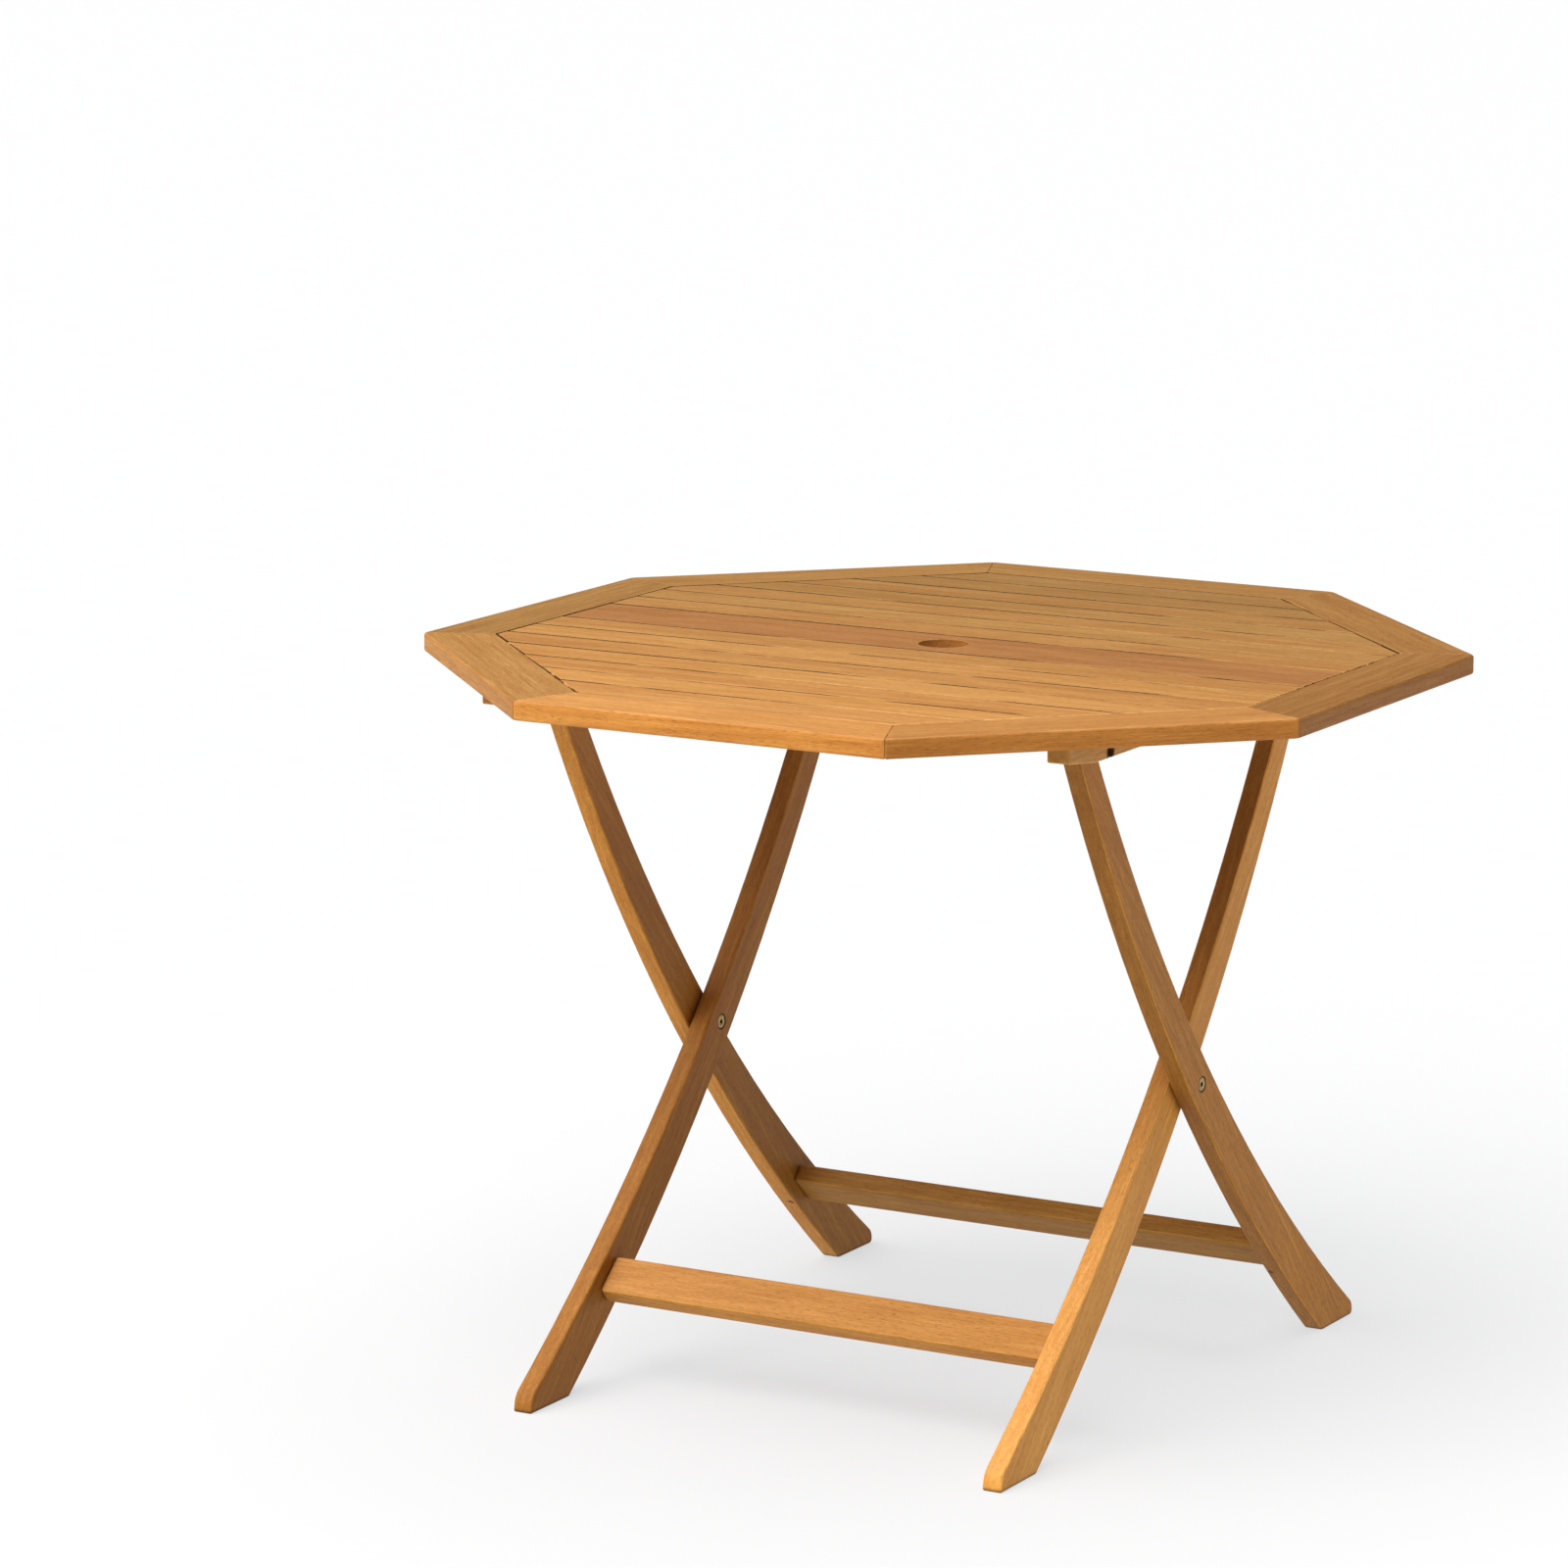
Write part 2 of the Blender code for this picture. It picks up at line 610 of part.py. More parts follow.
def catch(name, side, shade):
    slope, half = legFrame(False)
    length = arcLengthAt(hingeZ, slope) - TOP_RAIL_SETBACK
    middle, angle = centreline(length, slope)
    centre = placed(middle, False)
    depth = TOP_RAIL_DEPTH / 2 - RAIL_ARRIS
    thickness = RAIL_THICKNESS / 2 - RAIL_ARRIS
    railTop = centre.y + depth * math.cos(angle) + thickness * math.sin(angle) + RAIL_ARRIS
    railRear = centre.x + depth * math.sin(angle) + thickness * math.cos(angle) + RAIL_ARRIS
    wall = railRear + GAP
    high = undersideZ - GAP
    seat = railTop + GAP
    outline = [Vector(point) for point in (
        (wall, undersideZ - CATCH_DEPTH), (wall + CATCH_WALL, undersideZ - CATCH_DEPTH),
        (wall + CATCH_WALL, high), (wall - CATCH_LIP, high), (wall - CATCH_LIP, seat), (wall, seat))]
    ends = sorted((side * (CATCH_CENTRE - CATCH_WIDTH / 2), side * (CATCH_CENTRE + CATCH_WIDTH / 2)))
    made = prism(name, outline, *ends, along="x", shade=shade)
    return made, wall + CATCH_WALL / 2


def carrier(name, y, z, pieces):
    empty = bpy.data.objects.new(name, None)
    empty.location = (0, y, z)
    bpy.context.scene.collection.objects.link(empty)
    for piece in pieces:
        piece.parent = empty
        piece.matrix_parent_inverse = Matrix.Translation((0, -y, -z))


# The slats that a screw at this Y enters
def slatsAt(slats, y):
    return [slats[name] for name, middle, half in slatRows() if abs(y - middle) < half + SCREW_RADIUS]


def build():
    for old in list(bpy.data.objects):
        bpy.data.objects.remove(old)

    honey = wood("honey wood", (0.55, 0.28, 0.09))
    amber = wood("amber wood", (0.50, 0.23, 0.07))
    redBrown = wood("red brown wood", (0.42, 0.17, 0.055))
    legWood = wood("leg wood", (0.45, 0.19, 0.06))
    brass = metal("brass", (0.62, 0.42, 0.14))
    steel = metal("zinc plated steel", (0.55, 0.55, 0.53))

    boards = {}
    sides = ("right", "rear_right", "rear", "rear_left", "left", "front_left", "front", "front_right")
    for side, place in enumerate(sides):
        boards[place] = frameBoard(f"frame_{place}", side, honey)
    grooveDepth = TONGUE_LENGTH + SLAT_ARRIS
    grooveZ = undersideZ + (BOARD_THICKNESS - TONGUE_THICKNESS) / 2 - TENON_GAP
    groove = prism("groove", octagon(fieldApothem + grooveDepth), grooveZ,
                   grooveZ + TONGUE_THICKNESS + 2 * TENON_GAP)
    for board in boards.values():
        cut(board, groove)

    slats = {}
    for name, middle, half in slatRows():
        slats[name] = slat(name, middle, half,
                           redBrown if middle == 0 else (honey, amber)[int(name[-1]) % 2])
    turns = [math.tau * k / HOLE_SIDES for k in range(HOLE_SIDES)]
    hole = [PARASOL_HOLE_RADIUS * Vector((math.cos(turn), math.sin(turn))) for turn in turns]
    cut(slats["slat_centre"], prism("parasol hole", hole, undersideZ - GAP, TOP_HEIGHT + GAP))

    innerLegs = []
    outerLegs = []
    top = list(boards.values()) + list(slats.values())
    inner = []
    hingeArc = arcLengthAt(hingeZ, OUTER_SLOPE)
    hingeY = placed(centreline(hingeArc, OUTER_SLOPE)[0], True).x
    for label, side in (("left", -1), ("right", 1)):
        innerLeg = leg(f"inner_leg_{label}", side, False, legWood)
        outerLeg = leg(f"outer_leg_{label}", side, True, legWood)
        innerLegs.append(innerLeg)
        outerLegs.append(outerLeg)
        bearerPiece = bearer(f"bearer_{label}", side, legWood)
        pivotSet(label, side, brass)
        hingeBolt, hingeNut, hingeWasher = hingeSet(label, side, hingeY, bearerPiece, outerLeg, brass)
        bearerX = side * (bearerInner + BEARER_WIDTH / 2)
        reach = bearerHalfLength - SCREW_END_INSET
        front = boards[f"front_{label}"]
        rear = boards[f"rear_{label}"]
        bearerScrews = [
            screw(f"bearer_screw_{label}_{place}", bearerX, y, undersideZ - BEARER_DEPTH,
                  [bearerPiece, into], steel)
            for place, y, into in (("front", -reach, front), ("middle", 0, slats["slat_centre"]),
                                   ("rear", reach, rear))]
        catchPiece, catchY = catch(f"catch_{label}", side, legWood)
        catchScrew = screw(f"catch_screw_{label}", side * CATCH_CENTRE, catchY, undersideZ - CATCH_DEPTH,
                           [catchPiece] + slatsAt(slats, catchY), steel)
        top += [bearerPiece, hingeBolt, hingeNut, catchPiece, catchScrew] + bearerScrews

    innerLength = arcLengthAt(RAIL_HEIGHT, INNER_SLOPE)
    outerLength = arcLengthAt(RAIL_HEIGHT, OUTER_SLOPE)
    topLength = arcLengthAt(hingeZ, INNER_SLOPE) - TOP_RAIL_SETBACK
    innerRail = rail("inner_lower_rail", innerLength, False, RAIL_DEPTH, innerLegs, legWood)
    outerRail = rail("outer_lower_rail", outerLength, True, RAIL_DEPTH, outerLegs, legWood)
    topRail = rail("inner_top_rail", topLength, False, TOP_RAIL_DEPTH, innerLegs, legWood)
    for label, side, k in (("left", -1, 0), ("right", 1, 1)):
        inner.append(railPin(f"inner_rail_pin_{label}", side, innerLength, False,
                             (innerLegs[k], innerRail), legWood))
        railPin(f"outer_rail_pin_{label}", side, outerLength, True, (outerLegs[k], outerRail), legWood)
    inner += innerLegs + [innerRail, topRail]
    carrier("leg pivot", PIVOT_Y, PIVOT_Z, inner)
    carrier("top hinge", hingeY, hingeZ, top)
    print(f"hinge at y {hingeY:.4f}, z {hingeZ:.4f}; pivot at y {PIVOT_Y:.4f}, z {PIVOT_Z:.4f}")


build()
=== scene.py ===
import json
import math
import random

import bmesh
import bpy
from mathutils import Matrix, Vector


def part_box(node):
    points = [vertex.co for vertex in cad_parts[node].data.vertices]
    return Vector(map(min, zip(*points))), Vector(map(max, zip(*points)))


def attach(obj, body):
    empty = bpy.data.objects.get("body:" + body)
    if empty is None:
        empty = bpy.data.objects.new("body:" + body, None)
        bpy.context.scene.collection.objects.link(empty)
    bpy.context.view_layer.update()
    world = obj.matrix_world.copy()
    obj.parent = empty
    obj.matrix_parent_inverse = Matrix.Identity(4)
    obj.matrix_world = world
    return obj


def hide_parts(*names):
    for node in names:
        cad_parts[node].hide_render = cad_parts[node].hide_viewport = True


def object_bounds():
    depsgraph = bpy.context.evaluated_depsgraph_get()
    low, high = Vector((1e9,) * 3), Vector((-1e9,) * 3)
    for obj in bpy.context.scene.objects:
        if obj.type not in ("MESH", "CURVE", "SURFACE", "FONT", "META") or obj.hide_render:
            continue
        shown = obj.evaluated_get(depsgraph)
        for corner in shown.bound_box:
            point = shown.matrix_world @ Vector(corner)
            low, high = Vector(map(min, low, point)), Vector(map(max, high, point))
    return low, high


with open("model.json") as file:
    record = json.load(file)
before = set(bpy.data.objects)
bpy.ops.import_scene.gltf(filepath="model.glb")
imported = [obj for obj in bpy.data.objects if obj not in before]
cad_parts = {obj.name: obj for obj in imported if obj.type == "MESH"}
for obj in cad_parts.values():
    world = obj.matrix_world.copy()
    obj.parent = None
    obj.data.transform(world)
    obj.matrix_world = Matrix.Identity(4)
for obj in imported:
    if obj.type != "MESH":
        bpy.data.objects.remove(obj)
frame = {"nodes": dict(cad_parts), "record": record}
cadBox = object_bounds()
nodes = frame["nodes"]
bodyOf = {}
for body, members in frame["record"]["behaviour"]["bodies"].items():
    for member in members:
        bodyOf[member] = body
print("frame loaded:", len(nodes), "nodes")


# Camera and studio

view = {
    "lens": 145.45,              # mm
    "sensor": 36,                # mm, width
    "place": (3.0097, -5.5788, 1.8301),
    "azimuth": 29.81,            # degrees, from straight in front towards the right
    "elevation": 10.946,
    "farthest": 1000,
}

studio = {
    "floorSize": 500,
    "floorPaint": (0.250, 0.236, 0.229),
    "floorGlow": (0.594, 0.618, 0.632),
    "floorRoughness": 0.9,
    "floorShine": 0.1,
    "suns": {                    # azimuth from the front towards the right, elevation, strength
        "side light": (-90, 28, 0.5),
        "left light": (-45, 40, 1.0),
        "front light": (-5, 55, 2.9),
        "top light": (180, 82, 1.8),
    },
    "sunPlace": (0, 0, 3),       # a sun shines the same from any place
    "spread": 60,                # degrees; a wide sun gives the soft shadows of a large lamp
    "lamps": {                   # place, what it points at, power
        "left lamp": ((-1.4, -1.0, 0.14), (-0.3, 0, 0.45), 4.3),
        "right lamp": ((1.7, 0.4, 0.18), (0.3, 0, 0.16), 5.6),
    },
    "lampSize": (0.9, 0.26),     # width and height
}


def setCamera():
    data = bpy.data.cameras.new("camera")
    data.lens = view["lens"]
    data.sensor_width = view["sensor"]
    data.clip_end = view["farthest"]
    camera = bpy.data.objects.new("camera", data)
    bpy.context.collection.objects.link(camera)
    camera.location = view["place"]
    camera.rotation_euler = (math.radians(90 - view["elevation"]), 0, math.radians(view["azimuth"]))
    bpy.context.scene.camera = camera


def setFloor():
    bpy.ops.object.select_all(action="DESELECT")
    bpy.ops.mesh.primitive_plane_add(size=studio["floorSize"], location=(0, 0, 0))
    floor = bpy.context.object
    floor.name = "floor"
    paint = bpy.data.materials.new("pale floor")
    paint.use_nodes = True
    shader = paint.node_tree.nodes["Principled BSDF"]
    shader.inputs["Base Color"].default_value = (*studio["floorPaint"], 1)
    shader.inputs["Roughness"].default_value = studio["floorRoughness"]
    shader.inputs["Specular IOR Level"].default_value = studio["floorShine"]
    shader.inputs["Emission Color"].default_value = (*studio["floorGlow"], 1)
    shader.inputs["Emission Strength"].default_value = 1
    floor.data.materials.append(paint)


def setLights():
    for name, (azimuth, elevation, strength) in studio["suns"].items():
        bpy.ops.object.light_add(type="SUN", location=studio["sunPlace"])
        light = bpy.context.object
        light.name = name
        light.data.energy = strength
        light.data.angle = math.radians(studio["spread"])
        light.rotation_euler = (math.radians(90 - elevation), 0, math.radians(azimuth))
    for name, (place, target, power) in studio["lamps"].items():
        bpy.ops.object.light_add(type="AREA", location=place)
        light = bpy.context.object
        light.name = name
        light.data.shape = "RECTANGLE"
        light.data.size, light.data.size_y = studio["lampSize"]
        light.data.energy = power
        light.visible_camera = False
        light.rotation_euler = (Vector(target) - Vector(place)).to_track_quat("-Z", "Y").to_euler()


# White air all round for the camera, which lights nothing dull, shiny or clear.
def setAir():
    world = bpy.data.worlds.new("studio air")
    bpy.context.scene.world = world
    world.use_nodes = True
    world.node_tree.nodes["Background"].inputs["Color"].default_value = (1, 1, 1, 1)
    world.cycles_visibility.diffuse = False
    world.cycles_visibility.glossy = False
    world.cycles_visibility.transmission = False
    bpy.context.scene.view_settings.view_transform = "Standard"


setCamera()
setFloor()
setLights()
setAir()
print("camera, floor and lights set")


# Wood: colours as linear albedo, and the sizes of its figure in metres

timber = {
    "honey": {"deep": (0.320, 0.112, 0.017), "body": (0.455, 0.189, 0.031), "pale": (0.560, 0.262, 0.054)},
    "amber": {"deep": (0.302, 0.106, 0.017), "body": (0.435, 0.179, 0.030), "pale": (0.538, 0.250, 0.051)},
    "russet": {"deep": (0.262, 0.089, 0.016), "body": (0.390, 0.152, 0.029), "pale": (0.485, 0.208, 0.046)},
    "leg": {"deep": (0.275, 0.098, 0.013), "body": (0.405, 0.165, 0.021), "pale": (0.505, 0.229, 0.035)},
    "tan": {"deep": (0.430, 0.168, 0.028), "body": (0.600, 0.264, 0.048), "pale": (0.700, 0.340, 0.074)},
}

figure = {
    "shades": {"dark": 0.40, "shadeAndStain": 0.16},   # shares of the deep colour: for pores, and for painted shade and stains
    "blueLoss": 1.5,             # a redder piece loses this many times as much blue as green
    "shift": 5,                  # most that chance moves a piece's figure, along each axis
    "slant": (0, 0.30, 0.42),    # turn of the ripple from the grain, in radians
    "patterns": {                # length and width of a mark, detail, distortion
        "tone": (0.40, 0.035, 2.0, 0.4),
        "band": (0.110, 0.0065, 3.0, 0.2),
        "streak": (0.070, 0.0024, 3.0, 0.0),
        "fibre": (0.030, 0.0009, 3.0, 0.0),
        "pore": (0.0085, 0.0006, 1.0, 0.0),
        "ripple": (0.016, 0.0022, 2.0, 0.6),   # short slanting figure of interlocked grain
        "rubAndGlint": (0.03, 0.008, 2.0, 0.0),
        "seamShade": (0.120, 0.015, 2.0, 0.0),
    },
    "toneRange": (0.32, 0.68),   # values of the tone pattern that are all deep and all pale
    "evenness": 0.62,            # share of the body colour over both
    "layers": (                  # pattern, its values that count, how much colour there, which colour
        ("ring", (0.00, 1.00), (0.30, 0.00), "deep"),
        ("band", (0.50, 0.68), (0.00, 0.34), "deep"),
        ("band", (0.32, 0.48), (0.42, 0.00), "pale"),
        ("streak", (0.52, 0.70), (0.00, 0.50), "deep"),
        ("streak", (0.30, 0.46), (0.42, 0.00), "pale"),
        ("ripple", (0.50, 0.66), (0.00, 0.14), "deep"),
        ("ripple", (0.34, 0.48), (0.12, 0.00), "pale"),
        ("fibre", (0.35, 0.65), (0.00, 0.36), "deep"),
        ("pore", (0.58, 0.68), (0.00, 0.52), "dark"),
    ),
    # each from one value to another of what it goes by, then how much there is at the two, if not 0 and 1
    "narrowShadeHeight": (0.20, 0.55),  # between a leg's two tones of painted light and shade on its narrow faces
    # paler arrises, partly wear and partly painted highlight
    "rubbedAndGlinting": (0.40, 0.62, 0.15, 0.70),
    "upward": (0.3, 0.9),        # upward part of the normal
    # how much painted shade lies in the seams, from its pattern and its slope
    "seamShadeAmount": (0.38, 0.50, 0.0, 0.9),
    "footShade": (0.0045, 0.0010, 0.0, 0.80),  # height; painted contact shade on the feet's soles
    "boreStainAndShade": (0.0094, 0.0080, 0.0, 0.90),  # distance from the bolt's axis; a ring of stain and painted shade round its head
    "roughness": (0.3, 0.7, 0.45, 0.62),
    # painted light and sheen: colour factors for faces that lie up to the light
    "upwardLight": {"top": (1.0, 1.17, 1.95, 1), "legs": (1.04, 1.08, 1.52, 1)},
    "seamShadeSlope": (-0.30, 0.14, 0),   # more painted shade in the seams to the left and the rear, per metre
    "relief": (0.22, 0.0003),    # strength and height of the bump
    "shine": 0.16,
}

rings = {
    "width": 0.0065,
    "heart": 0.055,              # distance of the tree's heart from the board
    "heartSpread": (0.7, 1.5),   # times that distance, by chance
    "sway": (0.45, 0.16, 1.5, 0.0),            # length and width of a bend in the rings, detail, distortion
    "swayReach": 0.045,
    "unit": 0.314,               # width of a ring of the wave texture at scale 1
    "wave": {"Distortion": 1.6, "Detail": 2.0, "Detail Scale": 0.6},
}


# Adds a node and gives one of its outputs. An input takes another node's output or a plain value.
def wired(tree, kind, inputs, output, **settings):
    node = tree.nodes.new(kind)
    for key, value in settings.items():
        setattr(node, key, value)
    for key, value in inputs.items():
        if hasattr(value, "links"):
            tree.links.new(value, node.inputs[key])
        else:
            node.inputs[key].default_value = value
    return node.outputs[output]


# A Mix node's colour sockets are its seventh and eighth inputs and its third output.
def blended(tree, amount, low, high, how="MIX"):
    return wired(tree, "ShaderNodeMix", {0: amount, 6: low, 7: high}, 2, data_type="RGBA", blend_type=how)


def ranged(tree, source, low, high, toLow=0.0, toHigh=1.0):
    return wired(tree, "ShaderNodeMapRange",
                 {"Value": source, "From Min": low, "From Max": high, "To Min": toLow, "To Max": toHigh},
                 "Result")


def noise(tree, source, length, width, detail, distortion, output="Fac"):
    scale = (1 / length, 1 / width, 1 / width)
    scaled = wired(tree, "ShaderNodeMapping", {"Vector": source, "Scale": scale}, "Vector")
    return wired(tree, "ShaderNodeTexNoise",
                 {"Vector": scaled, "Scale": 1.0, "Detail": detail, "Distortion": distortion}, output)


def reckoned(tree, how, first, second):
    return wired(tree, "ShaderNodeMath", {0: first, 1: second}, 0, operation=how)


def moved(tree, how, first, second, output="Vector"):
    return wired(tree, "ShaderNodeVectorMath", {0: first, 1: second}, output, operation=how)


def marked(tree, layer):
    return wired(tree, "ShaderNodeAttribute", {}, "Fac", attribute_name=layer)


def heightOf(tree, source):
    return wired(tree, "ShaderNodeSeparateXYZ", {0: source}, "Z")


def coat(tree, skin, roughness, height, relief):
    shader = tree.nodes["Principled BSDF"]
    bump = wired(tree, "ShaderNodeBump", {"Height": height, "Strength": relief[0], "Distance": relief[1]},
                 "Normal")
    tree.links.new(skin, shader.inputs["Base Color"])
    tree.links.new(roughness, shader.inputs["Roughness"])
    tree.links.new(bump, shader.inputs["Normal"])
    return shader


def coloursOf(kind, tone, redness):
    colours = {}
    for part, (red, green, blue) in timber[kind].items():
        colours[part] = (min(1, red * tone), green * tone * (1 - redness),
                         blue * tone * (1 - figure["blueLoss"] * redness), 1)
    for part, share in figure["shades"].items():
        colours[part] = tuple(c * share for c in colours["deep"][:3]) + (1,)
    return colours


# Growth rings round a heart outside the board, wandering along its length.
def growthRings(tree, turned, grain, luck):
    angle = luck.uniform(0, math.tau)
    reach = rings["heart"] * luck.uniform(*rings["heartSpread"])
    heart = (0, reach * math.cos(angle), reach * math.sin(angle))
    sway = noise(tree, grain, *rings["sway"], output="Color")
    swayed = moved(tree, "MULTIPLY", sway, (0, rings["swayReach"], rings["swayReach"]))
    bent = moved(tree, "ADD", moved(tree, "ADD", turned, heart), swayed)
    return wired(tree, "ShaderNodeTexWave",
                 {"Vector": bent, "Scale": rings["unit"] / rings["width"], **rings["wave"]}, "Fac",
                 wave_type="RINGS", rings_direction="X", wave_profile="SIN")


# The grain runs along X until the turn lays it along the piece. A piece of the top is painted dark down its
# seams as painted shade. A bore is the place in Y and Z of a bolt; the wood round it is darkened, partly as
# a stain and partly as painted shade.
# Edge is the tone of a leg's narrow faces, low and high up, as painted light and shade.
def oiledWood(name, kind, turn=(0, 0, 0), tone=1.0, redness=0.0, onTop=False, edge=(1, 1), stainedShadedBores=()):
    luck = random.Random(name)
    colours = coloursOf(kind, tone, redness)
    most = figure["shift"]
    shift = (luck.uniform(-most, most), luck.uniform(-most, most), luck.uniform(-most, most))
    material = bpy.data.materials.new("oiled " + name)
    material.use_nodes = True
    tree = material.node_tree
    place = wired(tree, "ShaderNodeTexCoord", {}, "Object")
    turned = wired(tree, "ShaderNodeMapping", {"Vector": place, "Rotation": turn}, "Vector",
                   vector_type="TEXTURE")
    grain = wired(tree, "ShaderNodeMapping", {"Vector": turned, "Location": shift}, "Vector")
    slanted = wired(tree, "ShaderNodeMapping", {"Vector": grain, "Rotation": figure["slant"]}, "Vector")
    patterns = {part: noise(tree, slanted if part == "ripple" else grain, *size)
                for part, size in figure["patterns"].items()}
    patterns["ring"] = growthRings(tree, turned, grain, luck)

    tones = ranged(tree, patterns["tone"], *figure["toneRange"])
    skin = blended(tree, tones, colours["deep"], colours["pale"])
    skin = blended(tree, figure["evenness"], skin, colours["body"])
    for part, values, amounts, colour in figure["layers"]:
        skin = blended(tree, ranged(tree, patterns[part], *values, *amounts), skin, colours[colour])

    # a leg's narrow faces get painted light and shade: a tone of their own, for some darker high up as
    # painted shade under the tabletop
    if edge != (1, 1):
        narrowLightAndShade = ranged(tree, heightOf(tree, place), *figure["narrowShadeHeight"], *edge)
        skin = blended(tree, marked(tree, "narrow"), skin, blended(tree, 1.0, skin, narrowLightAndShade, "MULTIPLY"))

    # arrises painted a little paler, in places, partly as wear and partly as a painted highlight
    rubbedAndGlinting = ranged(tree, patterns["rubAndGlint"], *figure["rubbedAndGlinting"])
    skin = blended(tree, reckoned(tree, "MULTIPLY", marked(tree, "wornAndGlinting"), rubbedAndGlinting), skin, colours["pale"])

    # painted light and sheen: faces that lie up to the light are painted paler, the top's the most
    upward = ranged(tree, heightOf(tree, wired(tree, "ShaderNodeTexCoord", {}, "Normal")), *figure["upward"])
    upwardLit = blended(tree, 1.0, skin, figure["upwardLight"]["top" if onTop else "legs"], "MULTIPLY")
    skin = blended(tree, upward, skin, upwardLit)

    # painted shade lies in the top's seams, most of it to the left and the rear, and painted contact shade
    # darkens the feet's soles
    if onTop:
        seamShadeSlope = moved(tree, "DOT_PRODUCT", place, figure["seamShadeSlope"], "Value")
        seamShadeAmount = ranged(tree, reckoned(tree, "ADD", patterns["seamShade"], seamShadeSlope), *figure["seamShadeAmount"])
        paintedShade = reckoned(tree, "MULTIPLY", marked(tree, "seamShade"), seamShadeAmount)
    else:
        # painted contact shade, darker towards the bottom of the feet
        paintedShade = ranged(tree, heightOf(tree, place), *figure["footShade"])
    skin = blended(tree, paintedShade, skin, colours["shadeAndStain"])
    # a dark ring round each bolt's head: partly an oil and metal stain, partly painted shade
    for boreAxis in stainedShadedBores:
        away = moved(tree, "DISTANCE", moved(tree, "MULTIPLY", place, (0, 1, 1)), (0, *boreAxis), "Value")
        skin = blended(tree, ranged(tree, away, *figure["boreStainAndShade"]), skin, colours["shadeAndStain"])

    roughness = ranged(tree, patterns["fibre"], *figure["roughness"])
    height = reckoned(tree, "SUBTRACT", patterns["fibre"], patterns["pore"])
    shader = coat(tree, skin, roughness, height, figure["relief"])
    shader.inputs["Specular IOR Level"].default_value = figure["shine"]
    return material


metals = {
    "brass": {"clean": (0.44, 0.29, 0.095, 1), "dull": (0.16, 0.10, 0.035, 1), "gloss": (0.28, 0.52)},
    "zinc": {"clean": (0.66, 0.67, 0.66, 1), "dull": (0.42, 0.43, 0.42, 1), "gloss": (0.28, 0.55)},
}

patina = {
    "tarnish": (0.004, 0.004, 4.0, 0.3),       # length and width of a mark, detail, distortion
    "scratch": (0.00025, 0.0022, 2.0, 0.0),
    "tarnished": (0.42, 0.68),   # values of the tarnish that are all clean and all dull
    "scratched": (0.3, 0.7),
    # painted shade inside the sockets
    "socketShade": (0.015, 0.011, 0.008, 1),
    "inSocket": (0, 1, 0, 0.9),
    "relief": (0.12, 0.0001),
}


# The sockets of bolts and screws are painted dark, as painted shade.
def platedMetal(kind):
    finish = metals[kind]
    material = bpy.data.materials.new("plated " + kind)
    material.use_nodes = True
    tree = material.node_tree
    place = wired(tree, "ShaderNodeTexCoord", {}, "Object")
    tarnish = ranged(tree, noise(tree, place, *patina["tarnish"]), *patina["tarnished"])
    scratches = noise(tree, place, *patina["scratch"])
    skin = blended(tree, tarnish, finish["clean"], finish["dull"])
    skin = blended(tree, ranged(tree, marked(tree, "deep"), *patina["inSocket"]), skin, patina["socketShade"])
    roughness = ranged(tree, scratches, *patina["scratched"], *finish["gloss"])
    shader = coat(tree, skin, roughness, scratches, patina["relief"])
    shader.inputs["Metallic"].default_value = 1
    return material


brass = platedMetal("brass")
zinc = platedMetal("zinc")
print("metals mixed")


# Wooden pieces: each is a copy of its CAD solid with eased arrises

shaping = {
    "merge": 0.00002,            # points nearer to each other than this become one
    "flat": 0.4,                 # degrees; faces that meet more flatly than this become one
    "hollow": 10,                # degrees; an inward edge sharper than this bounds a bore, mortise or groove
    "steps": 2,                  # faces across an eased arris
    "smooth": 35,                # degrees
    "smoothTurned": 30,
    "evenness": 80,
}


def selectOnly(piece):
    bpy.ops.object.select_all(action="DESELECT")
    piece.select_set(True)
    bpy.context.view_layer.objects.active = piece


def copyOf(name, ending):
    piece = bpy.data.objects.new(f"{name}_{ending}", nodes[name].data.copy())
    bpy.context.collection.objects.link(piece)
    selectOnly(piece)
    bpy.ops.object.mode_set(mode="EDIT")
    bpy.ops.mesh.select_all(action="SELECT")
    bpy.ops.mesh.remove_doubles(threshold=shaping["merge"])
    bpy.ops.mesh.dissolve_limited(angle_limit=math.radians(shaping["flat"]))
    bpy.ops.object.mode_set(mode="OBJECT")
    return piece


